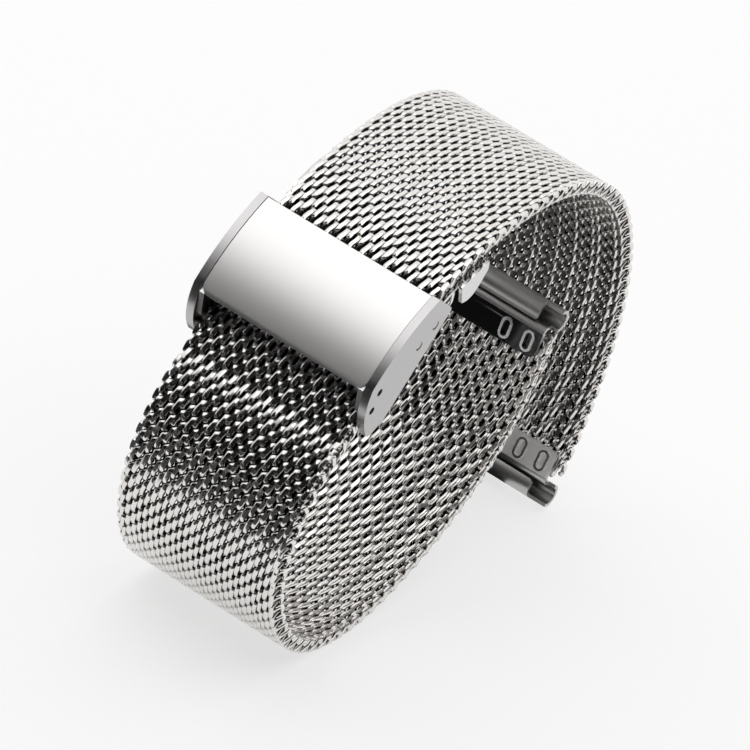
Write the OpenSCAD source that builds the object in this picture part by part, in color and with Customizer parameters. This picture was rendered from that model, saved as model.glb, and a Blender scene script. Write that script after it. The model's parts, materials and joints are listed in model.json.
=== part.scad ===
/* [Mesh] */
// Width of the mesh across its edge loops
mesh_w = 19.8; // [15.8:0.1:23.8]
// Thickness of the mesh
mesh_t = 1.6; // [1.4:0.05:1.8]
// Distance from one row of coiled wire to the next
row_pitch = 0.93; // [0.88:0.01:1]
// Half turns of wire in a row, which is also the number of fingers in a flexing row
half_turns = 27; // [21:2:33]
// Depth of the groove between two rows
row_groove = 0.24; // [0.1:0.01:0.3]
// How far every second row stands out at each edge
edge_loop = 0.3; // [0.1:0.05:0.4]
// Side gap between the interleaved fingers of a flexing row
finger_gap = 0.06; // [0.04:0.01:0.1]
// Gap round the rounded tip of a finger
tip_gap = 0.1; // [0.06:0.01:0.14]

/* [Lengths in rows] */
// Rows of the lower strap that run through the clasp
tail_rows = 21; // [20:1:23]
// Rows of the upper strap that lie on the hook plate
hook_rows = 10; // [9:1:10]
// Rows between two flexing rows
link_rows = 10; // [9:1:11]
// Rows of the upper strap past its last flexing row
upper_end_rows = 6; // [5:1:7]
// Rows of the lower strap past its last flexing row
lower_end_rows = 8; // [7:1:9]
// Place of the free end of the lower strap, past the middle of the clasp
tail_reach = 9.6; // [8.8:0.1:10.2]

/* [Clasp] */
// Radius of the curve along which the clasp carries the mesh
strap_curve = 30; // [28:0.5:34]
// Thickness of the two side cheeks
cheek_t = 0.9; // [0.7:0.05:1.2]
// Gap between the mesh and each cheek
side_gap = 0.15; // [0.1:0.01:0.25]
// Gap between the mesh and what it slides on or under
slide_gap = 0.05; // [0.04:0.01:0.1]
// Thickness of the base plate
base_t = 0.6; // [0.4:0.05:0.8]
// Diameter of the two cross bars
bar_d = 1; // [0.8:0.05:1.2]
// Place of the catch bar along the clasp
catch_x = 4.8; // [4.6:0.05:5]
// Place of the guide bar along the clasp
guide_x = 2.1; // [1.9:0.05:2.2]
// Height of the lid's top above the mesh
clasp_room = 4.1; // [3.9:0.05:4.6]

/* [Lid] */
// Radius of the lid's curve
lid_curve = 21; // [18:0.5:26]
// Length of the lid along the strap
lid_len = 11.7; // [11.2:0.1:12]
// Place of the lid's middle along the clasp
lid_x = 0.5; // [0.3:0.05:0.6]
// Thickness of the lid
lid_t = 0.45; // [0.35:0.05:0.5]
// Gap between the lid and each cheek
lid_gap = 0.05; // [0.04:0.01:0.1]
// Diameter of the lid's hinge pins
lid_pin_d = 0.8; // [0.7:0.05:0.9]
// Place of the lid's hinge along the clasp
lid_hinge_x = -5.9; // [-6:0.05:-5.8]
// Height of the lid's hinge above the mesh
lid_hinge_h = 1.05; // [1:0.05:1.15]

/* [Locking flap] */
// Width of the flap
flap_w = 18.2; // [14:0.1:18.3]
// Thickness of the flap
flap_t = 0.5; // [0.4:0.05:0.6]
// Place of the flap's hinge along the clasp
flap_hinge_x = -4.2; // [-4.3:0.05:-4.1]
// Height of the flap's hinge above the mesh
flap_hinge_h = 1.95; // [1.85:0.05:2.05]
// Place of the flap's toothed edge along the clasp
tooth_x = 0.7; // [0.5:0.05:0.9]
// Number of teeth on the flap
teeth = 13; // [9:1:15]

/* [Hook plate] */
// Thickness of the hook plate's sheet
hook_t = 0.4; // [0.3:0.05:0.5]
// Gap between the hook plate and the mesh below it
hook_lift = 0.15; // [0.1:0.01:0.2]
// Height of the hook plate's side flanges
flange_h = 2.9; // [2:0.1:3.4]
// Length of the side flanges
flange_len = 4.5; // [4:0.1:5]

/* [Lug ends] */
// How much narrower than the mesh the plates are that hold it
plate_short = 1.8; // [1.2:0.1:3]
// How much shorter the spring bar channels are than the mesh is wide
channel_short = 0.2; // [0:0.1:1]
// Thickness of the lug end's sheet
lug_t = 0.38; // [0.3:0.02:0.42]
// Radius of the channel that takes the spring bar
channel_r = 0.92; // [0.8:0.02:1]
// Length of the plate that holds the mesh
plate_len = 3; // [2.6:0.1:3.6]
// Length of the cutaway at each end of the channel's lip
notch_len = 2.1; // [1.6:0.1:2.8]
// Distance between the pressed ovals of a pair
oval_pitch = 2.75; // [2:0.05:3]
// Distance from the plate's end to the first oval's middle
oval_inset = 1.35; // [1.1:0.05:1.6]

/* [Shape of the closed bracelet] */
// Bend of the upper strap's last rows
upper_end_bend = -8; // [-12:1:0]
// Turn of the lower strap where it leaves the clasp
lower_turn = -20; // [-22:1:-10]
// Bend of the lower strap's last rows
lower_end_bend = 6; // [0:1:12]
// Tilt at which the closed bracelet stands
stand_tilt = 43.5; // [40:0.5:47]

/* [Hidden] */
// Bend of each link of the two straps in degrees, which gives the closed bracelet its shape
upper_bends = [-13, -20, -22, -19, -15, -14, -13];
lower_bends = [38, 33, 26, 31, 27, 16, 15, 28];
UPPER = len(upper_bends);
LOWER = len(lower_bends);
$fn = 48;
steel = "silver";
bright = "gainsboro";
fit_gap = 0.01;
run_gap = 0.03;

tip_r = mesh_t / 2;
socket_r = tip_r + tip_gap;
slot = mesh_w / half_turns;
link_len = link_rows * row_pitch;

bar_r = bar_d / 2;
inner_w = mesh_w + 2 * side_gap;
frame_w = inner_w + 2 * cheek_t;
strap_out = strap_curve + mesh_t / 2;
strap_in = strap_curve - mesh_t / 2;
bar_seat = strap_out + slide_gap + bar_r;
hook_in = strap_out + hook_lift;
hook_out = hook_in + hook_t;
upper_mid = hook_out + 0.02 + mesh_t / 2;
lid_top = strap_out + clasp_room;
lid_centre = [lid_x, lid_top - lid_curve];
lid_w = inner_w - 2 * lid_gap;
lid_pin_r = lid_pin_d / 2;
pin_recess = 0.35;
lid_half = asin(lid_len / 2 / lid_curve);

// Plane curves are lists of points, with x along the clasp and y outwards from the wearer
function polar(r, a) = [r * cos(a), r * sin(a)];
function on_arc(r, x) = [x, sqrt(r * r - x * x)];
function sweep(s, r) = s / r * 180 / PI;
function unit(v) = v / norm(v);
function angle(v) = atan2(v[1], v[0]);
function side(a, b) = a[0] * b[1] - a[1] * b[0];
function arc(c, r, from, to, n = 12) =
  [for (i = [0:n]) c + polar(r, from + (to - from) * i / n)];

// Rounds the corner q between p and s
function corner(p, q, s, r, n = 5) =
  let (a = unit(p - q), b = unit(s - q), half = acos(a * b) / 2,
       c = q + unit(a + b) * r / sin(half), from = angle(q + a * r / tan(half) - c),
       turn = (180 - 2 * half) * (side(a, b) > 0 ? -1 : 1))
  r == 0 || half > 89 ? [q] : arc(c, r, from, from + turn, n);
function rounded(p, r) =
  [for (i = [0:len(p) - 1])
    each corner(p[(i + len(p) - 1) % len(p)], p[i], p[(i + 1) % len(p)], r[i])];
function bent(p, r) =
  [for (i = [0:len(p) - 1])
    each (i == 0 || i == len(p) - 1) ? [p[i]] : corner(p[i - 1], p[i], p[i + 1], r)];

// The outline of a bent sheet of thickness t along the path p
function left(v) = [-v[1], v[0]];
function miter(p, i) =
  let (a = left(unit(p[max(i, 1)] - p[max(i, 1) - 1])),
       k = min(i, len(p) - 2), b = left(unit(p[k + 1] - p[k])), m = unit(a + b))
  m / (m * a);
function sheet(p, t) = concat(
  [for (i = [0:len(p) - 1]) p[i] + miter(p, i) * t / 2],
  [for (i = [len(p) - 1:-1:0]) p[i] - miter(p, i) * t / 2]);

// A place on the strap is [x, y, heading], and go() moves it along a bend
function go(q, s, bend) =
  let (r = bend == 0 ? 0 : s / bend * 180 / PI)
  bend == 0 ? [q[0] + s * cos(q[2]), q[1] + s * sin(q[2]), q[2]]
  : [q[0] + r * (sin(q[2] + bend) - sin(q[2])),
     q[1] - r * (cos(q[2] + bend) - cos(q[2])), q[2] + bend];
function beside(q, d) = [q[0] - d * sin(q[2]), q[1] + d * cos(q[2])];
function chain(q, bends) =
  [for (i = 0, at = q; i <= len(bends); at = i < len(bends) ? go(at, link_len, bends[i]) : at,
        i = i + 1) at];

catch_bar_at = on_arc(bar_seat, catch_x);
guide_bar_at = on_arc(bar_seat, guide_x);
lid_hinge = on_arc(strap_out + lid_hinge_h, lid_hinge_x);
flap_hinge = on_arc(strap_out + flap_hinge_h, flap_hinge_x);
hook_reach = catch_x + bar_r + slide_gap + hook_t;
hook_start = asin((hook_reach + 0.05) / hook_out);
hook_sweep = sweep(hook_rows * row_pitch, upper_mid);
upper_root = [for (v = [90 - hook_start]) [upper_mid * cos(v), upper_mid * sin(v), v - 90]][0];
upper_chain = chain(go(upper_root, hook_rows * row_pitch, -hook_sweep), upper_bends);
upper_tip = go(upper_chain[UPPER], upper_end_rows * row_pitch, upper_end_bend);

tail_sweep = sweep(tail_rows * row_pitch, strap_curve);
tail_root = [for (v = [90 - sweep(tail_reach, strap_curve)])
  [strap_curve * cos(v), strap_curve * sin(v), v + 90]][0];
tail_out = go(tail_root, tail_rows * row_pitch, tail_sweep);
lower_chain = chain([tail_out[0], tail_out[1], tail_out[2] + lower_turn], lower_bends);
lower_tip = go(lower_chain[LOWER], lower_end_rows * row_pitch, lower_end_bend);

// The ridged side of n rows: a ridge at each row and a groove between two
ridge_steps = [0, 0.2, 0.38, 0.5, 0.62, 0.8];
function ridge(f) = mesh_t / 2 - row_groove * pow(sin(180 * f), 4);
function ridges(q, n, bend, d) =
  [for (k = [0:n - 1], f = ridge_steps)
    beside(go(q, (k + f) * row_pitch, bend * (k + f) / n), d * ridge(f))];
function mesh_outline(q, n, bend) =
  let (a = ridges(q, n, bend, 1), b = ridges(q, n, bend, -1), end = go(q, n * row_pitch, bend))
  concat(a, [beside(end, ridge(0))],
         [beside(end, -ridge(0))], [for (i = [len(b) - 1:-1:0]) b[i]]);

// Stands the bracelet on the floor, with its origin below the middle
module across(w) linear_extrude(w, center = true) children();
function standing(p) =
  [p[0] * cos(stand_tilt) - p[1] * sin(stand_tilt),
   p[0] * sin(stand_tilt) + p[1] * cos(stand_tilt)];
lug_w = mesh_w - plate_short;
channel_w = mesh_w - channel_short;
channel_out = channel_r + lug_t;
channel_x = channel_out + 0.35;
function channel_at(tip) = let (q = go(tip, channel_x, 0)) [q[0], q[1]];
function reach_of(q, n, bend) = [for (p = mesh_outline(q, n, bend)) standing(p)];
function ring_reach(c) =
  let (s = standing(c)) [for (a = [0:90:270]) s + polar(channel_out, a)];
outline = concat(
  [for (i = [0:UPPER - 1], p = reach_of(upper_chain[i], link_rows, upper_bends[i])) p],
  [for (i = [0:LOWER - 1], p = reach_of(lower_chain[i], link_rows, lower_bends[i])) p],
  ring_reach(channel_at(upper_tip)), ring_reach(channel_at(lower_tip)),
  [for (q = concat(upper_chain, lower_chain), a = [0:90:270])
    standing([q[0], q[1]]) + polar(tip_r, a)]);
floor_z = min([for (p = outline) p[1]]);
middle_x = (min([for (p = outline) p[0]]) + max([for (p = outline) p[0]])) / 2;
module stand()
  translate([-middle_x, 0, -floor_z]) rotate([90, 0, 0]) rotate(stand_tilt) children();

module curved_plate(r_in, r_out, from, to, w)
  rotate(from) rotate_extrude(angle = to - from)
    translate([r_in, -w / 2]) square([r_out - r_in, w]);
function turned(r, x) = 90 - asin(x / r);
module rod(c, r, w) translate([c[0], c[1], 0]) cylinder(r = r, h = w, center = true);

// The fingers of one flexing row, in the slots from first on, two apart
module fingers(q, first) {
  back = go(q, socket_r + row_pitch / 3, 0);
  neck = mesh_t * 0.36;
  for (i = [first:2:half_turns - 1])
    translate([0, 0, (i + 0.5) * slot - mesh_w / 2])
      across(slot - finger_gap) {
        translate([q[0], q[1]]) circle(tip_r);
        polygon([beside(q, neck), beside(q, -neck), beside(back, -neck), beside(back, neck)]);
      }
}

// The loops of one row that stand out at both edges
module edge_loops(q, k, n, bend) {
  half = 0.42;
  from = go(q, (k - half) * row_pitch, bend * (k - half) / n);
  to = go(q, (k + half) * row_pitch, bend * (k + half) / n);
  rise = mesh_t * 0.4;
  across(mesh_w)
    polygon([beside(from, rise), beside(from, -rise), beside(to, -rise), beside(to, rise)]);
}

// Rows of mesh from the place q on, with fingers at the ends that flex
module mesh(q, n, bend, flex_before = true, flex_after = true) {
  end = go(q, n * row_pitch, bend);
  back = [end[0], end[1], end[2] + 180];
  color(steel) {
    difference() {
      union() {
        across(mesh_w - 2 * edge_loop) polygon(mesh_outline(q, n, bend));
        for (k = [1:2:n - 1]) edge_loops(q, k, n, bend);
      }
      if (flex_before) rod(q, socket_r, mesh_w + 1);
      if (flex_after) rod(end, socket_r, mesh_w + 1);
    }
    if (flex_before) fingers(q, 1);
    if (flex_after) fingers(back, 0);
  }
}
module upper_mesh(i) mesh(upper_chain[i - 1], link_rows, upper_bends[i - 1]);
module lower_mesh(i) mesh(lower_chain[i - 1], link_rows, lower_bends[i - 1]);
module upper_mesh_root() mesh(upper_root, hook_rows, -hook_sweep, flex_before = false);
module upper_mesh_end() mesh(upper_chain[UPPER], upper_end_rows, upper_end_bend, flex_after = false);
module lower_mesh_tail() mesh(tail_root, tail_rows, tail_sweep, flex_before = false);
module lower_mesh_end() mesh(lower_chain[LOWER], lower_end_rows, lower_end_bend, flex_after = false);

// A cheek follows the lid along its top and is rounded off where the lower strap leaves
module cheek() {
  reach = 1.9;
  drop = 1.25;
  tip = [lid_hinge[0] - reach, strap_in - drop];
  heel = [lid_hinge[0] + 0.8, strap_in - base_t - drop];
  brow = [lid_x + lid_len / 2 + 0.05, lid_top - 0.6];
  toe = brow + [1, -4.2];
  end_r = 7;
  end_centre = [tip[0] + 0.1 + end_r, strap_in - 0.6];
  intersection() {
    linear_extrude(cheek_t)
      polygon(rounded([tip + [-0.3, 10], tip, heel, toe, brow, brow + [-0.15, 4]],
                      [0, 1.1, 2, 0.5, 0.3, 0]));
    translate(lid_centre) cylinder(r = lid_curve + 0.06, h = cheek_t);
    union() {
      translate(end_centre) cylinder(r = end_r, h = cheek_t);
      translate(end_centre - [0, 20]) cube([40, 40, cheek_t]);
    }
  }
}
module clasp_frame() color(steel) {
  base_r = strap_in - slide_gap;
  difference() {
    for (z = [inner_w / 2, -frame_w / 2]) translate([0, 0, z]) cheek();
    for (c = [catch_bar_at, guide_bar_at]) rod(c, bar_r + fit_gap, frame_w + 1);
    for (c = [lid_hinge, flap_hinge]) rod(c, lid_pin_r + fit_gap, frame_w + 1);
  }
  curved_plate(base_r - base_t, base_r, turned(base_r, lid_x), turned(base_r, lid_hinge_x - 0.9),
               inner_w + cheek_t);
}
module catch_bar() color(bright) rod(catch_bar_at, bar_r, frame_w);
module guide_bar() color(bright) rod(guide_bar_at, bar_r, frame_w);

// The lid is a curved plate with two ears folded down to its hinge
ear_t = 0.6;
ear_r = 0.78;
ear_neck = 0.8;
module lid_ear() {
  edge = 90 + lid_half;
  translate(lid_hinge) circle(ear_r);
  polygon([lid_hinge + [-0.7, 0.3], lid_hinge + [0.7, -0.3],
           lid_centre + polar(lid_curve - lid_t * 0.8, edge - sweep(ear_neck, lid_curve)),
           lid_centre + polar(lid_curve - lid_t * 0.2, edge)]);
}
module lid_plan() {
  right = lid_x + lid_len;
  left = lid_x - lid_len / 2;
  polygon(rounded([[left, -lid_w / 2], [right, -lid_w / 2], [right, lid_w / 2], [left, lid_w / 2]],
                  [1.1, 0, 0, 1.1]));
}
module lid() color(bright) difference() {
  union() {
    intersection() {
      translate(lid_centre)
        curved_plate(lid_curve - lid_t, lid_curve, 90 - lid_half, 90 + lid_half, lid_w);
      translate([0, lid_top - 5, 0]) rotate([-90, 0, 0]) linear_extrude(8) lid_plan();
    }
    for (z = [-1, 1]) translate([0, 0, z * (lid_w - ear_t) / 2]) across(ear_t) lid_ear();
  }
  rod(lid_hinge, lid_pin_r + run_gap, frame_w);
}
module lid_pins() color(bright) {
  from = lid_w / 2 - ear_t;
  to = frame_w / 2 - pin_recess;
  for (z = [from, -to]) translate([lid_hinge[0], lid_hinge[1], z]) cylinder(r = lid_pin_r, h = to - from);
}

// The flap presses its toothed edge on the lower strap
module lock_flap() color(bright) {
  edge = on_arc(strap_out + 0.12, tooth_x);
  path = bent([flap_hinge, edge + [-0.45, 1.2], edge], 0.5);
  pitch = flap_w / teeth;
  difference() {
    union() {
      across(flap_w) polygon(sheet(path, flap_t));
      rod(flap_hinge, lid_pin_r + 0.35, flap_w);
    }
    rod(flap_hinge, lid_pin_r + run_gap, flap_w + 1);
    for (i = [1:teeth - 1])
      translate([edge[0], edge[1] + 0.1, i * pitch - flap_w / 2]) cube([2, 0.7, pitch / 2], center = true);
  }
}
module flap_pin() color(bright) rod(flap_hinge, lid_pin_r, frame_w - 2 * pin_recess);

// The hook plate carries the end of the upper strap and hooks over the catch bar
hook_end = 90 - hook_start - hook_sweep + sweep(0.5, hook_in);
flange_start = hook_end + sweep(flange_len, hook_in);
module flange() {
  steps = 12;
  low = hook_out - hook_t - 0.05;
  drop = flange_h - hook_t - 0.05;
  intersection() {
    curved_plate(hook_out - flange_h - 1, hook_out, hook_end, flange_start, hook_t);
    across(hook_t) polygon(concat(
      [polar(hook_out + 1, flange_start + 1), polar(hook_out + 1, hook_end - 1)],
      [for (i = [0:steps]) let (f = i / steps)
        polar(low - drop * sin(180 * (0.22 + 0.78 * (1 - f))),
              hook_end - 1 + (flange_start - hook_end + 2) * f)]));
  }
}
module hook_plate() color(bright) {
  grip = bar_r + slide_gap;
  flat_w = inner_w - 0.2;
  flat_end = turned(hook_in, catch_x + bar_r - 0.05);
  ring_from = -36;
  ring_to = 185;
  difference() {
    curved_plate(hook_in, hook_out, hook_end, flat_end, inner_w + 2 * hook_t);
    for (z = [-1, 1]) translate([0, 0, z * (flat_w + 2) / 2])
      curved_plate(hook_in - 1, hook_out + 1, flange_start, flat_end + 2, 2);
  }
  for (z = [-1, 1]) translate([0, 0, z * (inner_w + hook_t) / 2]) flange();
  translate(catch_bar_at) curved_plate(grip, grip + hook_t, ring_from, ring_to, flat_w);
}

// A lug end is one bent sheet: a plate under the mesh, an S bend and the spring bar channel
module stadium(l, w, h) rotate([90, 0, 0]) linear_extrude(h) {
  square([l - w, w], center = true);
  for (x = [-1, 1]) translate([x * (l - w) / 2, 0]) circle(w / 2);
}
module lug_end(sag) {
  plate_y = -mesh_t / 2 - 0.02 - sag - lug_t / 2;
  wall_x = channel_x - channel_r - lug_t / 2;
  plate_r = 0.8;
  lip = 232;
  lip_r = 0.5;
  lip_x = channel_x + channel_out * cos(lip);
  notch_at = channel_w / 2 - notch_len;
  outer = channel_w / 2 + 1;
  notch = concat([[lip_x - 0.1, outer], [lip_x - 0.1, notch_at - lip_r]],
                 arc([lip_x + lip_r, notch_at - lip_r], lip_r, 180, 90),
                 [[channel_x + channel_out + 1, notch_at], [channel_x + channel_out + 1, outer]]);
  plan = rounded([[-plate_len, -lug_w / 2], [channel_x, -lug_w / 2],
                  [channel_x, lug_w / 2], [-plate_len, lug_w / 2]], [plate_r, 0, 0, plate_r]);
  oval_l = plate_len - 0.6;
  oval_w = 1.3;
  rim = 0.28;
  ovals = [for (i = [0, 1], z = [-1, 1]) z * (lug_w / 2 - oval_inset - i * oval_pitch)];
  difference() {
    union() {
      intersection() {
        across(lug_w)
          polygon(sheet(bent([[-plate_len, plate_y], [wall_x, plate_y], [wall_x, 0]], 0.6), lug_t));
        rotate([90, 0, 0]) linear_extrude(4, center = true) polygon(plan);
      }
      difference() {
        rod([channel_x, 0], channel_out, channel_w);
        across(channel_w + 1) translate([channel_x, 0])
          polygon([[0, 0], [-3, 0], polar(3, (180 + lip) / 2), polar(3, lip)]);
        for (end = [1, -1])
          translate([0, -0.3, 0]) rotate([90, 0, 0]) linear_extrude(channel_out)
            polygon([for (p = notch) [p[0], end * p[1]]]);
      }
      for (z = ovals)
        translate([-plate_len / 2, plate_y - lug_t / 4, z]) stadium(oval_l, oval_w, lug_t / 4 + 0.12);
    }
    rod([channel_x, 0], channel_r, channel_w + 1);
    for (z = ovals)
      translate([-plate_len / 2, plate_y + lug_t / 4, z])
        stadium(oval_l - 2 * rim, oval_w - 2 * rim, lug_t + 1);
  }
}

// How far the curved end of a strap rises over the length of a lug end's plate
function sag(n, bend) = plate_len * plate_len / 2 * abs(bend) * PI / 180 / (n * row_pitch);
module at_place(q) translate([q[0], q[1], 0]) rotate(q[2]) children();
module upper_lug_end() color(steel) at_place(upper_tip) lug_end(sag(upper_end_rows, upper_end_bend));
module lower_lug_end() color(steel) at_place(lower_tip)
  mirror([0, 1, 0]) lug_end(sag(lower_end_rows, lower_end_bend));

stand() clasp_frame();
stand() catch_bar();
stand() guide_bar();
stand() lid();
stand() lid_pins();
stand() lock_flap();
stand() flap_pin();
stand() hook_plate();
stand() upper_lug_end();
stand() lower_lug_end();
stand() upper_mesh_root();
stand() lower_mesh_tail();
stand() upper_mesh_end();
stand() lower_mesh_end();
for (i = [1:UPPER]) stand() upper_mesh(i);
for (i = [1:LOWER]) stand() lower_mesh(i);
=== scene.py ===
# %% [markdown]
# # A mesh bracelet with a sliding clasp
#
# The bracelet is two straps of woven wire and a clasp of bent sheet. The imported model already
# holds its sizes, its joints and the plain solids. This file gives it its looks: real coils of
# wire in place of the ridged solids, edges that catch the light, and finishes. Each new piece
# rides on the same body as the solid that it replaces, so all of it moves with the joints.

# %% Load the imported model
import json
import math

import bpy
from mathutils import Matrix, Vector


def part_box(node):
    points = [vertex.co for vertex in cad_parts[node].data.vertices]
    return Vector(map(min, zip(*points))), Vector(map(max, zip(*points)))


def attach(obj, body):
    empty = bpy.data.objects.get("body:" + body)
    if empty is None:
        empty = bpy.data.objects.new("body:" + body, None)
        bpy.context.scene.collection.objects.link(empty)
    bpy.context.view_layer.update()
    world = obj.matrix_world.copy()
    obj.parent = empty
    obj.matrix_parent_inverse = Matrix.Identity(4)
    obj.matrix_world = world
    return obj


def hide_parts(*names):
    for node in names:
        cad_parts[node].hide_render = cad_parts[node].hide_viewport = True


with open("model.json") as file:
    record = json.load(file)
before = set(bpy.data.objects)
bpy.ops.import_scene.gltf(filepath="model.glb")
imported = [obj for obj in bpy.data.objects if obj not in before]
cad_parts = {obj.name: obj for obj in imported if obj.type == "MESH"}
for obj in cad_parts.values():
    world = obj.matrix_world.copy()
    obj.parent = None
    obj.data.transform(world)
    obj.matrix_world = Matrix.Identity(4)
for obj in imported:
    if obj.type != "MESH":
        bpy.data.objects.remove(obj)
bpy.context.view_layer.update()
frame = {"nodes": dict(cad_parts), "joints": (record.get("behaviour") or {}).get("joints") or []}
nodes = frame["nodes"]
joints = {joint["name"]: joint for joint in frame["joints"]}
MM = 0.001

# %% [markdown]
# ## Camera
#
# The camera comes first, because it decides how fine each piece has to be. The photograph looks
# down on the bracelet from its near side and is tilted, so the camera is placed by its own three
# directions instead of being pointed with a tracking constraint. A long lens, far away, keeps the
# edges of the strap almost parallel, as they are in the photograph.

# %% Place the camera
PICTURE = 750                             # width and height of the picture, in pixels
PIXELS_PER_METRE = 10293                  # at the place that the camera is aimed at
DISTANCE = 0.865
AIM = Vector((-23.306, -9.348, 37.010)) * MM
right = Vector((0.5359, -0.7988, 0.2733)).normalized()
back = Vector((-0.7833, -0.3495, 0.5141))
back = (back - back.dot(right) * right).normalized()
up = back.cross(right)
camera_data = bpy.data.cameras.new("camera")
camera_data.sensor_width = 36
camera_data.lens = camera_data.sensor_width * DISTANCE * PIXELS_PER_METRE / PICTURE
camera = bpy.data.objects.new("camera", camera_data)
bpy.context.scene.collection.objects.link(camera)
turn = Matrix((right, up, back)).transposed().to_4x4()
camera.matrix_world = Matrix.Translation(AIM + back * DISTANCE) @ turn
bpy.context.scene.camera = camera
print("lens:", round(camera_data.lens), "mm")

# %% [markdown]
# ## The set
#
# Polished steel has no colour of its own: it shows what stands around it. So the set is built
# like a real one for small metal goods: a white surround, a white floor, one soft lamp above and
# a few dark cards. Surfaces that face a card turn dark, and that gives the metal its contrast.
# A set is a handful of flat sheets and a lamp, so two helpers are enough to build it.

# %% Make the tools for the set
def deselect():
    """Leaves edit mode and selects nothing, so that the next operator acts on new things only."""
    if bpy.context.mode != "OBJECT":
        bpy.ops.object.mode_set(mode="OBJECT")
    bpy.ops.object.select_all(action="DESELECT")


def fresh_material(name):
    """Makes an empty node material and returns it with its node tree and its output node."""
    material = bpy.data.materials.new(name)
    material.use_nodes = True
    tree = material.node_tree
    tree.nodes.clear()
    return material, tree, tree.nodes.new("ShaderNodeOutputMaterial")


def paint_finish(name, tone):
    """A plain matt paint of one grey tone."""
    material, tree, output = fresh_material(name)
    paint = tree.nodes.new("ShaderNodeBsdfDiffuse")
    paint.inputs["Color"].default_value = (tone, tone, tone, 1)
    tree.links.new(paint.outputs[0], output.inputs["Surface"])
    return material


def add_plane(name, width, height, place, facing, material):
    """Adds a flat sheet of the given size at a place, with its front towards a direction."""
    deselect()
    turn = Vector(facing).to_track_quat("Z", "Y").to_euler()
    bpy.ops.mesh.primitive_plane_add(size=1, location=place, rotation=turn)
    plane = bpy.context.object
    plane.name = name
    plane.scale = (width, height, 1)
    plane.data.materials.append(material)
    return plane


def add_lamp(name, place, size, power):
    """Adds a square soft lamp at a place, turned to the bracelet."""
    data = bpy.data.lights.new(name, "AREA")
    data.size = size
    data.energy = power
    lamp = bpy.data.objects.new(name, data)
    bpy.context.scene.collection.objects.link(lamp)
    lamp.location = place
    to_lamp = Vector(place) - Vector((0, 0, 0.03))
    lamp.rotation_euler = to_lamp.to_track_quat("Z", "Y").to_euler()
    return lamp


print("helpers for the set are ready")

# %% [markdown]
# ## The floor
#
# The photograph has a white ground. White paint alone comes out grey, and a stronger lamp would
# burn out the steel. So the floor is white paint mixed with a glow that only the camera, mirrors
# and glass can see. The glow lights nothing, and the share of paint left keeps the soft shadow.

# %% Lay the floor
GLOW = 1.08
GLOW_SHARE = 0.6
floor_finish, tree, output = fresh_material("pale_floor")
paint = tree.nodes.new("ShaderNodeBsdfDiffuse")
paint.inputs["Color"].default_value = (0.9, 0.9, 0.9, 1)
glow = tree.nodes.new("ShaderNodeEmission")
glow.inputs["Strength"].default_value = GLOW
ray = tree.nodes.new("ShaderNodeLightPath")
seen = ray.outputs["Is Camera Ray"]
for kind in ("Is Glossy Ray", "Is Transmission Ray"):
    either = tree.nodes.new("ShaderNodeMath")
    either.operation = "MAXIMUM"
    tree.links.new(seen, either.inputs[0])
    tree.links.new(ray.outputs[kind], either.inputs[1])
    seen = either.outputs[0]
share = tree.nodes.new("ShaderNodeMath")
share.operation = "MULTIPLY"
share.inputs[1].default_value = GLOW_SHARE
mix = tree.nodes.new("ShaderNodeMixShader")
tree.links.new(seen, share.inputs[0])
tree.links.new(share.outputs[0], mix.inputs[0])
tree.links.new(paint.outputs[0], mix.inputs[1])
tree.links.new(glow.outputs[0], mix.inputs[2])
tree.links.new(mix.outputs[0], output.inputs["Surface"])
floor = add_plane("floor", 6, 6, (0, 0, 0), (0, 0, 1), floor_finish)
print("floor:", floor.scale.x, "m wide")

# %% [markdown]
# ## Dark cards
#
# Two dark cards stand to the left and on the near side: the lid's lower half and the front of
# the lower strap mirror them. Two lie on the floor: a wide one to the left, which darkens the
# lid's lower edge and the inner lug end, and a small one inside the ring, which is a painted
# shadow: it stands for the ring's shadow on the floor, which the glowing floor washes out in
# mirrors, and it darkens the inner side of the upper strap. The camera doesn't see any of them
# and they cast no shadow. The lying ones also leave the floor's own brightness alone. Cards are
# used, and not darker steel, because the dark parts then move over the metal when it is seen from
# another side.

# %% Stand the cards round the bracelet
dark_card, grey_card = paint_finish("dark_card", 0.012), paint_finish("grey_card", 0.06)
CARDS = (                                 # name, width, height, place, facing
    ("dark_card_left", 1.5, 0.56, (-0.5, 0.0, 0.285), (1, 0, 0)),
    ("dark_card_near", 1.0, 0.56, (-0.05, -0.55, 0.285), (0, 1, 0)),
    ("dark_card_low", 0.44, 0.6, (-0.275, 0.08, 0.0002), (0, 0, 1)),
    # painted shadow: a dark sheet under the ring that stands for the ring's shadow on the floor
    ("dark_card_under", 0.05, 0.045, (0.012, 0.018, 0.0001), (0, 0, 1)))
for name, width, height, place, facing in CARDS:
    lies = facing == (0, 0, 1)
    card = add_plane(name, width, height, place, facing, grey_card if lies else dark_card)
    card.visible_camera = False
    card.visible_shadow = False
    card.visible_diffuse = not lies
print("cards:", len(CARDS))

# %% [markdown]
# ## Light
#
# The surround is plain white at a strength of 1, so a colour renders about as it is written. One
# wide soft lamp above the far left adds a little shape and the faint shadow under the ring. The
# standard view transform keeps the whites of the photograph white.

# %% Light the set
world = bpy.data.worlds.new("surround")
bpy.context.scene.world = world
world.use_nodes = True
surround = world.node_tree.nodes["Background"]
surround.inputs["Color"].default_value = (1, 1, 1, 1)
surround.inputs["Strength"].default_value = 1.0
lamp = add_lamp("top_lamp", (-0.15, 0.1, 0.7), 0.6, 0.8)
bpy.context.scene.view_settings.view_transform = "Standard"
print("lamp:", round(lamp.data.energy, 2), "W")

# %% [markdown]
# ## Grain
#
# All of the bracelet is steel, but no two parts are finished alike. The wire is bright and rolled
# flat, the lid and the cheeks are brushed, the lug ends are polished and carry fine scratches
# from use. Brushing and scratches are the same effect at other sizes: noise drawn out along one
# axis. So it is one node group, placed in each material with its own values.

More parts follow.
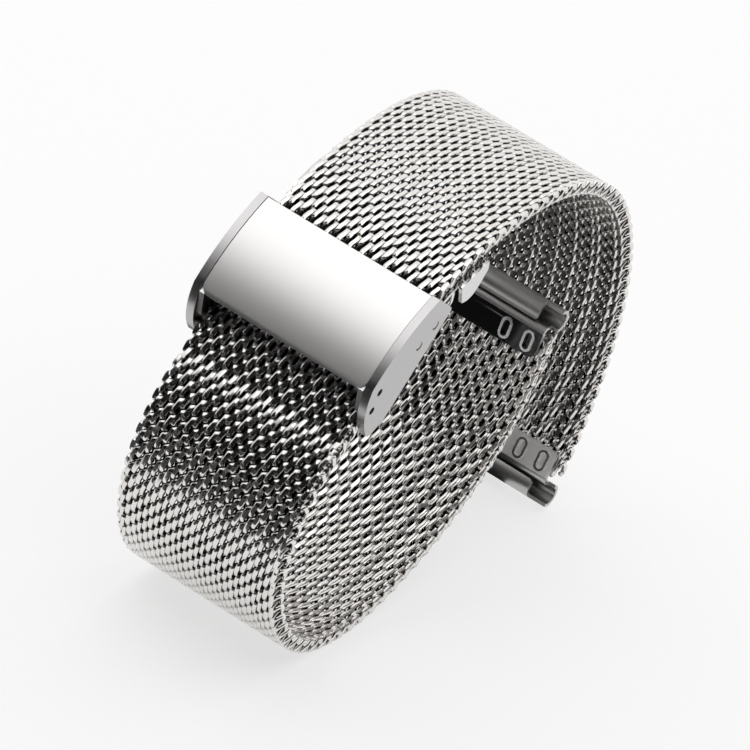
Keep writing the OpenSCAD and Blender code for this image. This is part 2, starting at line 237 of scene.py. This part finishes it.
# %% Make the grain group
def make_grain_group():
    """Noise stretched along one axis. It puts out a roughness and a height."""
    group = bpy.data.node_groups.new("grain", "ShaderNodeTree")
    for name, value in (("Roughness", 0.2), ("Spread", 0.1), ("Scale", 1.0)):
        socket = group.interface.new_socket(name, in_out="INPUT", socket_type="NodeSocketFloat")
        socket.default_value = value
    group.interface.new_socket("Along", in_out="INPUT", socket_type="NodeSocketVector")
    for name in ("Roughness", "Height"):
        group.interface.new_socket(name, in_out="OUTPUT", socket_type="NodeSocketFloat")
    links, make = group.links, group.nodes.new
    source, sink = make("NodeGroupInput"), make("NodeGroupOutput")
    noise = make("ShaderNodeTexNoise")
    noise.inputs["Detail"].default_value = 3
    links.new(source.outputs["Along"], noise.inputs["Vector"])
    links.new(source.outputs["Scale"], noise.inputs["Scale"])
    centred = make("ShaderNodeMath")
    centred.operation = "SUBTRACT"
    centred.inputs[1].default_value = 0.5
    spread = make("ShaderNodeMath")
    spread.operation = "MULTIPLY_ADD"
    links.new(noise.outputs[0], centred.inputs[0])
    links.new(centred.outputs[0], spread.inputs[0])
    links.new(source.outputs["Spread"], spread.inputs[1])
    links.new(source.outputs["Roughness"], spread.inputs[2])
    links.new(spread.outputs[0], sink.inputs["Roughness"])
    links.new(noise.outputs[0], sink.inputs["Height"])
    return group


grain = make_grain_group()
print("grain group:", len(grain.nodes), "nodes")

# %% [markdown]
# ## Finishes
#
# A steel finish is a metal with a grey of its own, a roughness that wanders a little and a very
# low relief. On the lid and the cheeks the grain runs along the clasp. The clasp is turned in the
# side view, so a mapping node turns the grain with it. The two lug ends differ in the photograph:
# the lower one is a black mirror with bright rims, and the upper one is worn to a soft grey.
# They are two copies of one steel, shaded and lit: the lower one's near-black colour is a painted
# reflection of dark surroundings, and the upper one's light colour is painted light, with its
# wear in its roughness.

# %% Mix the steel finishes
TILT = 43.5                               # how far the clasp is turned in the side view


def steel(name, grey, roughness, spread, stretch, bump, scale):
    """A steel finish. stretch is the grain's fineness along x, y and z, bump its height in mm."""
    material, tree, output = fresh_material(name)
    shader = tree.nodes.new("ShaderNodeBsdfPrincipled")
    shader.inputs["Base Color"].default_value = (*grey, 1)
    shader.inputs["Metallic"].default_value = 1
    place = tree.nodes.new("ShaderNodeTexCoord")
    mapping = tree.nodes.new("ShaderNodeMapping")
    mapping.inputs["Rotation"].default_value = (0, math.radians(-TILT), 0)
    stretched = tree.nodes.new("ShaderNodeVectorMath")
    stretched.operation = "MULTIPLY"
    stretched.inputs[1].default_value = stretch
    grained = tree.nodes.new("ShaderNodeGroup")
    grained.node_tree = grain
    grained.inputs["Roughness"].default_value = roughness
    grained.inputs["Spread"].default_value = spread
    grained.inputs["Scale"].default_value = scale
    relief = tree.nodes.new("ShaderNodeBump")
    relief.inputs["Strength"].default_value = 1
    relief.inputs["Distance"].default_value = bump * MM
    links = tree.links
    links.new(place.outputs["Object"], mapping.inputs["Vector"])
    links.new(mapping.outputs[0], stretched.inputs[0])
    links.new(stretched.outputs[0], grained.inputs["Along"])
    links.new(grained.outputs["Roughness"], shader.inputs["Roughness"])
    links.new(grained.outputs["Height"], relief.inputs["Height"])
    links.new(relief.outputs[0], shader.inputs["Normal"])
    links.new(shader.outputs[0], output.inputs["Surface"])
    return material


ALIKE, FAINT, DRAWN = (1, 1, 1), (1, 3, 1), (1, 8, 1)         # how a grain is stretched
# painted shade: the cheeks' grey is darker than the lid's, for the shaded floor that they mirror
SHADED_CHEEK_GREY = (0.50, 0.49, 0.49)
lid_steel = steel("satin_lid", (0.77, 0.76, 0.75), 0.42, 0.08, DRAWN, 0.0006, 1500)
cheek_steel = steel("brushed_cheek", SHADED_CHEEK_GREY, 0.30, 0.12, (1, 6, 8), 0.002, 1200)
# painted shade: the pins get a near-black steel for the shade in their holes
pin_steel = steel("dark_pin", (0.02, 0.02, 0.02), 0.5, 0.1, ALIKE, 0.003, 2000)
polished_steel = steel("polished_sheet", (0.66, 0.66, 0.66), 0.09, 0.08, FAINT, 0.001, 900)
# painted reflection: the lower lug end's steel is near black, for the dark that it mirrors
dark_painted_mirror_steel = steel("mirror_sheet", (0.07, 0.07, 0.075), 0.06, 0.04, FAINT, 0.0003, 900)
rolled_steel = steel("rolled_channel", (0.52, 0.52, 0.51), 0.34, 0.06, FAINT, 0.0004, 900)
# partly painted light: the upper lug end's steel is lighter than the rest, its wear is in the
# roughness
worn_and_lit_steel = steel("worn_sheet", (0.96, 0.95, 0.94), 0.58, 0.30, (1, 2, 1), 0.002, 1500)
lip_steel = steel("bright_edge", (0.9, 0.9, 0.9), 0.2, 0.05, ALIKE, 0.0005, 900)
# painted shade: the lid's ears get a dark steel for the shade they sit in
shaded_ear_steel = steel("shaded_ear", (0.16, 0.155, 0.15), 0.35, 0.05, ALIKE, 0.0005, 900)
print("materials:", [material.name for material in bpy.data.materials])

# %% [markdown]
# ## Wire with painted shade in its hollows
#
# Between the turns of a real mesh lies shade, and each wire mirrors its dark neighbours many
# times over. Following all those mirror images would take very long, so that shade is painted
# into the wire instead: it gets darker with depth. Each coil will carry a "depth" value, from 0
# in the middle of the mesh to 1 on its rolled faces, and a colour ramp turns that into a grey.

# %% Paint shade into the wire by its depth
HOLLOW, FACE = 0.45, 0.92                 # depths at which the wire is darkest and brightest
wire_steel = steel("bright_wire", (0.80, 0.78, 0.76), 0.17, 0.08, ALIKE, 0.0008, 3000)
tree = wire_steel.node_tree
depth_value = tree.nodes.new("ShaderNodeAttribute")
depth_value.attribute_name = "depth"
shade = tree.nodes.new("ShaderNodeValToRGB")
# painted shade: near black deep in the mesh, the wire's own grey on its rolled faces
for stop, position, grey in zip(shade.color_ramp.elements, (HOLLOW, FACE),
                                ((0.07, 0.066, 0.063, 1), (0.80, 0.78, 0.76, 1))):
    stop.position = position
    stop.color = grey
tree.links.new(depth_value.outputs["Fac"], shade.inputs[0])
tree.links.new(shade.outputs[0], tree.nodes["Principled BSDF"].inputs["Base Color"])
print("wire is darkest below a depth of", HOLLOW)

# %% [markdown]
# ## Edges that catch the light
#
# A bent sheet is never quite sharp: tumbling rounds its edges a little, and that narrow rounding
# is what shines along a cheek or a lug end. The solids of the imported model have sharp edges. So
# each one is copied, the copy's loose triangles are merged, and a bevel rounds the sharp edges by
# a few hundredths of a millimetre. The bevel's faces get a brighter finish of their own. Rounding
# a copy keeps the shape that the joints were made for.

# %% Round the edges of the sheet pieces
MERGE = 0.002                             # corners closer than this many mm become one
FLAT = math.radians(1)                    # faces that meet at less than this become one
SMOOTH = math.radians(25)
SHARP = math.radians(40)                  # edges sharper than this are rounded


def rounded_copy(node, body, width, finish, lip):
    """Copies a solid, rounds its sharp edges and puts the copy in the solid's place."""
    deselect()
    twin = nodes[node].copy()
    twin.data = nodes[node].data.copy()
    bpy.context.scene.collection.objects.link(twin)
    twin.select_set(True)
    bpy.context.view_layer.objects.active = twin
    bpy.ops.object.transform_apply(location=True, rotation=True, scale=True)
    twin.name = twin.data.name = f"rounded_{node}"
    bpy.ops.object.mode_set(mode="EDIT")
    bpy.ops.mesh.select_all(action="SELECT")
    bpy.ops.mesh.remove_doubles(threshold=MERGE * MM)
    bpy.ops.mesh.dissolve_limited(angle_limit=FLAT)
    deselect()
    twin.data.materials.clear()
    twin.data.materials.append(finish)
    twin.data.materials.append(lip)
    for face in twin.data.polygons:
        face.material_index = 0
    twin.select_set(True)
    bpy.context.view_layer.objects.active = twin
    bpy.ops.object.shade_smooth_by_angle(angle=SMOOTH)
    edges = twin.modifiers.new("edges", "BEVEL")
    edges.harden_normals = True
    edges.material = 1
    edges.width = width * MM
    edges.segments = 2
    edges.limit_method = "ANGLE"
    edges.angle_limit = SHARP
    edges.use_clamp_overlap = True
    bpy.ops.object.modifier_apply(modifier="edges")
    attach(twin, body)
    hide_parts(node)
    return twin


SHEETS = (                                # node, body, slot, rounding in mm, faces, edges
    ("clasp_frame", "clasp", "frame", 0.06, cheek_steel, lid_steel),
    ("lid", "lid", "lid", 0.05, lid_steel, lid_steel),
    ("hook_plate", "hook", "hook", 0.04, polished_steel, lip_steel),
    ("lock_flap", "flap", "flap", 0.04, cheek_steel, lid_steel),
    ("upper_lug_end", "upper_end", "lug_ends", 0.07, worn_and_lit_steel, lip_steel),
    ("lower_lug_end", "lower_end", "lug_ends", 0.07, dark_painted_mirror_steel, lip_steel))
rounded = {}
for node, body, slot, width, finish, lip in SHEETS:
    rounded[node] = rounded_copy(node, body, width, finish, lip)
    print(node, len(rounded[node].data.polygons), "faces")

# %% [markdown]
# ## The ears of the lid
#
# The lid turns on two small ears that are bent down at its ends. They sit deep between the cheek
# and the strap, in shade, and look dark beside the satin top: that shade is painted into a dark
# steel of their own. Their faces are found by their distance from the middle of the arc that the
# strap follows through the clasp: all that lies well below the lid's top is an ear.

# %% Shade the ears of the lid
EAR_DEPTH = 0.75                          # the ears start this many mm below the lid's top
EAR_SLOT = 2                              # after the faces' and the edges' finishes
arc_middle = Vector(joints["size_slide"]["pos_m"])
lid = rounded["lid"]
lid.data.materials.append(shaded_ear_steel)


def from_middle(point):
    """Distance from the middle of the clasp's arc in the side view."""
    return math.hypot(point.x - arc_middle.x, point.z - arc_middle.z)


top = max(from_middle(point.co) for point in lid.data.vertices)
ears = [face for face in lid.data.polygons if from_middle(face.center) < top - EAR_DEPTH * MM]
for face in ears:
    face.material_index = EAR_SLOT
print("lid's top:", round(top / MM, 2), "mm from the middle;", len(ears), "faces on the ears")

# %% [markdown]
# ## Bars and pins
#
# The two bars end flush in the cheek, and what shows of each is a dark crescent where the bar
# doesn't quite fill its hole and shade falls into the gap. A gap of a few hundredths of a
# millimetre isn't worth a mesh, so that shade is painted: the crescent is a mask in the bar's
# finish, and everything that lies further than a given radius from a middle just beside the
# bar's is dark. Both bars use it, so it is a node group.

# %% Make the crescent group
def make_crescent_group():
    """Is 1 outside a circle in the side view, and 0 inside it."""
    group = bpy.data.node_groups.new("crescent", "ShaderNodeTree")
    group.interface.new_socket("Middle", in_out="INPUT", socket_type="NodeSocketVector")
    group.interface.new_socket("Radius", in_out="INPUT", socket_type="NodeSocketFloat")
    group.interface.new_socket("Mask", in_out="OUTPUT", socket_type="NodeSocketFloat")
    links, make = group.links, group.nodes.new
    source, sink = make("NodeGroupInput"), make("NodeGroupOutput")
    place, beyond = make("ShaderNodeTexCoord"), make("ShaderNodeMath")
    offset, flat, reach = (make("ShaderNodeVectorMath") for _ in range(3))
    offset.operation, flat.operation, reach.operation = "SUBTRACT", "MULTIPLY", "LENGTH"
    beyond.operation = "GREATER_THAN"
    flat.inputs[1].default_value = (1, 0, 1)
    links.new(place.outputs["Object"], offset.inputs[0])
    links.new(source.outputs["Middle"], offset.inputs[1])
    links.new(offset.outputs[0], flat.inputs[0])
    links.new(flat.outputs[0], reach.inputs[0])
    links.new(reach.outputs["Value"], beyond.inputs[0])
    links.new(source.outputs["Radius"], beyond.inputs[1])
    links.new(beyond.outputs[0], sink.inputs["Mask"])
    return group


crescent = make_crescent_group()
print("crescent group:", len(crescent.nodes), "nodes")

# %% [markdown]
# ## Finishes of the bars and pins
#
# A bar's end is brushed together with the cheek, so its finish is a copy of the cheek's, with
# the crescent's painted shade mixed into its colour. The pins sit deeper in their holes, in
# shade,
# and that shade is painted too: their steel is near black.
# Both keep the plain solid: a turned bar is a cylinder, and only its end can be seen.

# %% Dress the bars and pins
CRESCENT_SHIFT = (-0.18, 0.20)            # from the bar's middle to the circle's, in mm
CRESCENT_RADIUS = 0.44


def bar_finish(name, x, z):
    """The cheek's steel with a crescent of painted shade round the lower right of the bar at x, z
    in mm.
    """
    material = cheek_steel.copy()
    material.name = name
    tree = material.node_tree
    mask = tree.nodes.new("ShaderNodeGroup")
    mask.node_tree = crescent
    shift_x, shift_z = CRESCENT_SHIFT
    mask.inputs["Middle"].default_value = ((x + shift_x) * MM, 0, (z + shift_z) * MM)
    mask.inputs["Radius"].default_value = CRESCENT_RADIUS * MM
    mix = tree.nodes.new("ShaderNodeMix")
    mix.data_type = "RGBA"
    mix.inputs["A"].default_value = (*SHADED_CHEEK_GREY, 1)
    # painted shade: the near-black of the gap round the bar
    mix.inputs["B"].default_value = (0.01, 0.01, 0.01, 1)
    tree.links.new(mask.outputs[0], mix.inputs["Factor"])
    tree.links.new(mix.outputs["Result"], tree.nodes["Principled BSDF"].inputs["Base Color"])
    return material


def middle_of(node):
    """The middle of a solid in the side view, in mm."""
    low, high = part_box(node)
    return (low[0] + high[0]) / 2 / MM, (low[2] + high[2]) / 2 / MM


for name in ("catch_bar", "guide_bar"):
    nodes[name].data.materials.clear()
    nodes[name].data.materials.append(bar_finish(f"{name}_steel", *middle_of(name)))
    print(name, "at", [round(value, 2) for value in middle_of(name)])
for name in ("lid_pins", "flap_pin"):
    nodes[name].data.materials.clear()
    nodes[name].data.materials.append(pin_steel)

# %% [markdown]
# ## The way the straps run
#
# A strap is a chain of stiff stretches with a joint between each two. Within a stretch the mesh
# has a constant bend, so its rows lie on an arc. The sizes below repeat those of the packed
# model, in millimetres, and a place on a strap is x, z and the heading, measured in the side
# view. Each place is worked out from the one before it, as the model does it.

# %% Follow an arc
ROW = 0.93                                # from one row of wire to the next


def move_on(place, length, bend):
    """The place reached from another one along an arc that turns by bend degrees."""
    x, z, heading = place
    a, b = math.radians(heading), math.radians(heading + bend)
    if not bend:
        return x + length * math.cos(a), z + length * math.sin(a), heading
    radius = length / (b - a)
    return (x + radius * (math.sin(b) - math.sin(a)),
            z - radius * (math.cos(b) - math.cos(a)), heading + bend)


def on_clasp(radius, angle, turn):
    """A place on the clasp's arc, angle degrees round from the clasp's right side."""
    a = math.radians(angle + TILT)
    return (arc_middle.x / MM + radius * math.cos(a), arc_middle.z / MM + radius * math.sin(a),
            angle + TILT + turn)


def degrees(length, radius):
    """The angle of an arc of the given length."""
    return math.degrees(length / radius)


print("ten rows on a radius of 30 mm turn by", round(degrees(10 * ROW, 30), 1), "degrees")

# %% [markdown]
# ## The stretches of both straps
#
# The upper strap starts on the hook plate and the lower one with its free end inside the clasp.
# From there each runs link by link to its lug end. The bends were read off the outline of the
# ring, and the check at the end compares two of the places with the model's own joints.

# %% List the stretches of both straps
LINK_ROWS = 10
LOWER_ARC = 30.0                          # radius of the lower strap inside the clasp
HOOK_ARC, HOOK_BACK = 31.35, 5.8          # the hook plate's outside, and where its mesh starts
UPPER_ARC = 32.17                         # radius of the upper strap on the hook plate
HOOK_ROWS, TAIL_ROWS = 10, 21
TAIL_REACH, LOWER_TURN = 9.6, -20         # free end past the clasp's middle, kink at its exit
UPPER_BENDS = (-13, -20, -22, -19, -15, -14, -13)
LOWER_BENDS = (38, 33, 26, 31, 27, 16, 15, 28)
UPPER_END, LOWER_END = (6, -8), (8, 6)    # rows and bend of each strap's last stretch
stretches = []                            # node, body, place, rows, bend


def follow(kind, place, bends, end):
    """Lists the links of one strap and its last rows."""
    for i, bend in enumerate(bends, 1):
        stretches.append((f"{kind}_mesh_{i}", f"{kind}_{i}", place, LINK_ROWS, bend))
        place = move_on(place, LINK_ROWS * ROW, bend)
    stretches.append((f"{kind}_mesh_end", f"{kind}_end", place, *end))


root = on_clasp(UPPER_ARC, 90 - math.degrees(math.asin(HOOK_BACK / HOOK_ARC)), -90)
root_bend = -degrees(HOOK_ROWS * ROW, UPPER_ARC)
stretches.append(("upper_mesh_root", "hook", root, HOOK_ROWS, root_bend))
tail = on_clasp(LOWER_ARC, 90 - degrees(TAIL_REACH, LOWER_ARC), 90)
tail_bend = degrees(TAIL_ROWS * ROW, LOWER_ARC)
stretches.append(("lower_mesh_tail", "tail", tail, TAIL_ROWS, tail_bend))
follow("upper", move_on(root, HOOK_ROWS * ROW, root_bend), UPPER_BENDS, UPPER_END)
x, z, heading = move_on(tail, TAIL_ROWS * ROW, tail_bend)
follow("lower", (x, z, heading + LOWER_TURN), LOWER_BENDS, LOWER_END)
for name, joint in (("upper_mesh_1", "upper_flex_1"), ("lower_mesh_8", "lower_flex_8")):
    place = next(stretch[2] for stretch in stretches if stretch[0] == name)
    gap = math.dist(place[:2], [joints[joint]["pos_m"][k] / MM for k in (0, 2)])
    print(name, "is", round(gap, 4), "mm from its joint")

# %% [markdown]
# ## Pressed ovals
#
# Four ovals are pressed up out of each lug end's plate, which stiffens the thin sheet. Their rims
# are the brightest part of it. The solids already have the ovals, so nothing is modelled here:
# their faces are found by their height over the plate, and get the bright finish of the edges.
# The rolled channel beyond the plate gets a soft finish of its own in the same way.

# %% Brighten the ovals and dress the channels
OVAL_HEIGHTS = {"upper": 1.33, "lower": 1.28}   # faces further from the mesh's middle are ovals
PLATE_EDGE = -0.2                               # the ovals lie this far before the strap's end
EDGE_SLOT, CHANNEL_SLOT = 1, 2


def at_place(place):
    """The matrix that puts x along the strap, y across its thickness and z to the near edge."""
    x, z, heading = place
    c, s = math.cos(math.radians(heading)), math.sin(math.radians(heading))
    return Matrix(((c, -s, 0, x * MM), (0, 0, -1, 0), (s, c, 0, z * MM), (0, 0, 0, 1)))


for kind, height in OVAL_HEIGHTS.items():
    _, _, place, rows, bend = next(s for s in stretches if s[0] == f"{kind}_mesh_end")
    to_end = at_place(move_on(place, rows * ROW, bend)).inverted()
    lug = rounded[f"{kind}_lug_end"]
    lug.data.materials.append(rolled_steel)
    rims = 0
    for face in lug.data.polygons:
        spot = to_end @ face.center
        if spot.x < PLATE_EDGE * MM and abs(spot.y) > height * MM:
            face.material_index = EDGE_SLOT
            rims += 1
        elif spot.x > 0 and face.material_index == 0:
            face.material_index = CHANNEL_SLOT
    print(kind, "lug end:", rims, "faces on its ovals")

# %% [markdown]
# ## One coil of wire
#
# A row of the mesh is one coil of wire that runs from edge to edge, hooked into the coils of the
# rows beside it. It could be drawn as a curve from a formula, but winding it as a maker does is
# plainer: a single point is wound round the axis by a screw modifier, twelve steps a turn, and
# leaves a line that will become the wire.

# %% Wind a coil
TURN = 1.42                               # width of one turn
TURNS = 14.5
STEPS = 12                                # points in one turn
FIRST = 15                                # degrees, so that a turn's top lies between two points
deselect()
bpy.ops.mesh.primitive_plane_add(size=MM)
coil = bpy.context.object
coil.name = "coil"
bpy.ops.object.mode_set(mode="EDIT")
bpy.ops.mesh.merge(type="CENTER")
start = (math.cos(math.radians(FIRST)) * MM, math.sin(math.radians(FIRST)) * MM, 0)
bpy.ops.transform.translate(value=start)
bpy.ops.object.mode_set(mode="OBJECT")
winding = coil.modifiers.new("winding", "SCREW")
winding.axis = "Z"
winding.steps = winding.render_steps = round(STEPS * TURNS)
winding.angle = math.tau * TURNS
winding.screw_offset = -TURN * TURNS * MM
bpy.ops.object.modifier_apply(modifier="winding")
print("winding:", len(coil.data.vertices), "points")

# %% [markdown]
# ## Pressed turns
#
# Real coils are round when they are wound and become long loops when the mesh is drawn tight and
# rolled. The line gets the same treatment: it is scaled to a flat oval, its shoulders are pressed
# out and a little sideways so that each loop slants, and its ends are bent in. At both edges the
# last loops stop at a plane. The two planes differ, because in the photograph every second row
# stands out a little at the edge, and the loops there are pressed narrower, with gaps between.

# %% Press the turns into long loops
REACH, RISE = 0.95, 0.68                  # half the length and height of a turn
SHOULDER = (0.5, 0.8)                     # the loop's shoulders lie between these, along x
SHOULDER_OUT, SLANT = 1.25, 0.09
BEND, BEND_OUT = 0.9, 1.6                 # the loop's ends lie beyond BEND, and are made taller
EDGES = (9.58, 9.28)                      # where the wire turns back at its two ends
EDGE_NARROW = 0.6
MIDDLE = (0, 0, 0)


def pick(piece, test):
    """Opens edit mode with the points selected for which test(point) holds."""
    bpy.context.view_layer.objects.active = piece
    bpy.ops.object.mode_set(mode="EDIT")
    bpy.ops.mesh.select_mode(type="VERT")
    bpy.ops.mesh.select_all(action="DESELECT")
    bpy.ops.object.mode_set(mode="OBJECT")
    for point in piece.data.vertices:
        point.select = test(point.co)
    bpy.ops.object.mode_set(mode="EDIT")


pick(coil, lambda p: True)
centred = TURN * (TURNS / 2 - FIRST / 360)      # puts the middle of one outer loop at zero
bpy.ops.transform.translate(value=(0, 0, centred * MM))
bpy.ops.transform.resize(value=(REACH, RISE, 1), center_override=MIDDLE)
near, far = SHOULDER
for x_side in (1, -1):
    for y_side in (1, -1):
        pick(coil, lambda p: near * MM < p.x * x_side < far * MM and p.y * y_side > 0)
        bpy.ops.transform.resize(value=(1, SHOULDER_OUT, 1), center_override=MIDDLE)
        bpy.ops.transform.translate(value=(0, 0, -SLANT * MM * x_side * y_side))
pick(coil, lambda p: abs(p.x) > BEND * MM)
bpy.ops.transform.resize(value=(1, BEND_OUT, 1), center_override=MIDDLE)
for side, edge in zip((1, -1), EDGES):
    pick(coil, lambda p: p.z * side > edge * MM)
    plane = (0, 0, side * edge * MM)
    bpy.ops.transform.resize(value=(EDGE_NARROW, 1, 0), center_override=plane)
deselect()
width = max(p.co.z for p in coil.data.vertices) - min(p.co.z for p in coil.data.vertices)
print("one coil:", round(width / MM, 2), "mm wide along the wire's middle")

# %% [markdown]
# ## Rolled wire
#
# The line becomes a wire with a round section, and then goes between rollers: what stands out
# beyond the mesh's thickness is scaled flat. The flat lozenges that this leaves on top of each
# turn are what shines on a real mesh. The section has few sides, because the coil is repeated
# some two hundred times. The depth value for the wire's painted shade is stored on its points.

# %% Give the coil its wire and roll it flat
WIRE = 0.28                               # radius of the wire
HALF_THICK = 0.80                         # half the thickness of the mesh
coil.select_set(True)
bpy.ops.object.convert(target="CURVE")
coil = bpy.context.object
coil.data.bevel_depth = WIRE * MM
coil.data.bevel_resolution = 2
coil.data.use_fill_caps = True
bpy.ops.object.convert(target="MESH")
coil = bpy.context.object
for side in (1, -1):
    pick(coil, lambda p: p.y * side > HALF_THICK * MM)
    roller = (0, side * HALF_THICK * MM, 0)
    bpy.ops.transform.resize(value=(1, 0, 1), center_override=roller)
bpy.ops.mesh.select_all(action="SELECT")
bpy.ops.mesh.normals_make_consistent(inside=False)
deselect()
# depth steers the painted shade: 0 in the mesh's middle, 1 on its rolled faces, and higher at the
# wire's ends at the edges, so the edge loops are painted lighter
depth = coil.data.attributes.new("depth", "FLOAT", "POINT")
for point, value in zip(coil.data.vertices, depth.data):
    from_edge = abs(point.co.z) / MM - EDGES[0]
    value.value = max(abs(point.co.y) / MM / HALF_THICK, from_edge + HALF_THICK)
coil.data.materials.append(wire_steel)
print("one coil:", len(coil.data.polygons), "faces")

# %% [markdown]
# ## Weaving
#
# To weave a strap, one copy of the coil is laid at every row, and every second copy is turned
# over, end for end. That shifts its turns by half a turn, so neighbouring coils hook into each
# other, and it brings the longer end to the other edge, so the edge loops stand out in turn.
# The rows of a stretch are joined to one piece, because they move together. The places of the
# first and last rows at the clasp and at the lug ends stay free for the sheet.

# %% Lay the coils row by row
WEAVE_SMOOTH = math.radians(50)


def lay(master, matrix):
    """A copy of a piece with its own mesh, put in its place."""
    twin = master.copy()
    twin.data = master.data.copy()
    bpy.context.scene.collection.objects.link(twin)
    twin.matrix_world = matrix
    return twin


def join(parts, name):
    """Makes several pieces one, with its place in its mesh."""
    deselect()
    for part in parts:
        part.select_set(True)
    bpy.context.view_layer.objects.active = parts[0]
    bpy.ops.object.join()
    bpy.ops.object.transform_apply(location=True, rotation=True, scale=True)
    joined = bpy.context.object
    joined.name = joined.data.name = name
    return joined


as_wound, turned_over = Matrix(), Matrix.Rotation(math.pi, 4, "X")
coils = 0
for node, body, place, rows, bend in stretches:
    start = 1 if body in ("hook", "tail") else 0
    stop = rows - 1 if node.endswith("end") else rows
    laid = []
    for k in range(start, stop):
        spot = move_on(place, (k + 0.5) * ROW, bend * (k + 0.5) / rows)
        odd = (k + (rows % 2 if start else 0)) % 2
        laid.append(lay(coil, at_place(spot) @ (turned_over if odd else as_wound)))
    coils += len(laid)
    weave = join(laid, f"weave_{node}")
    bpy.ops.object.shade_smooth_by_angle(angle=WEAVE_SMOOTH)
    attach(weave, body)
    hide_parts(node)
bpy.data.objects.remove(coil)
print("stretches of mesh:", len(stretches), "with", coils, "coils")
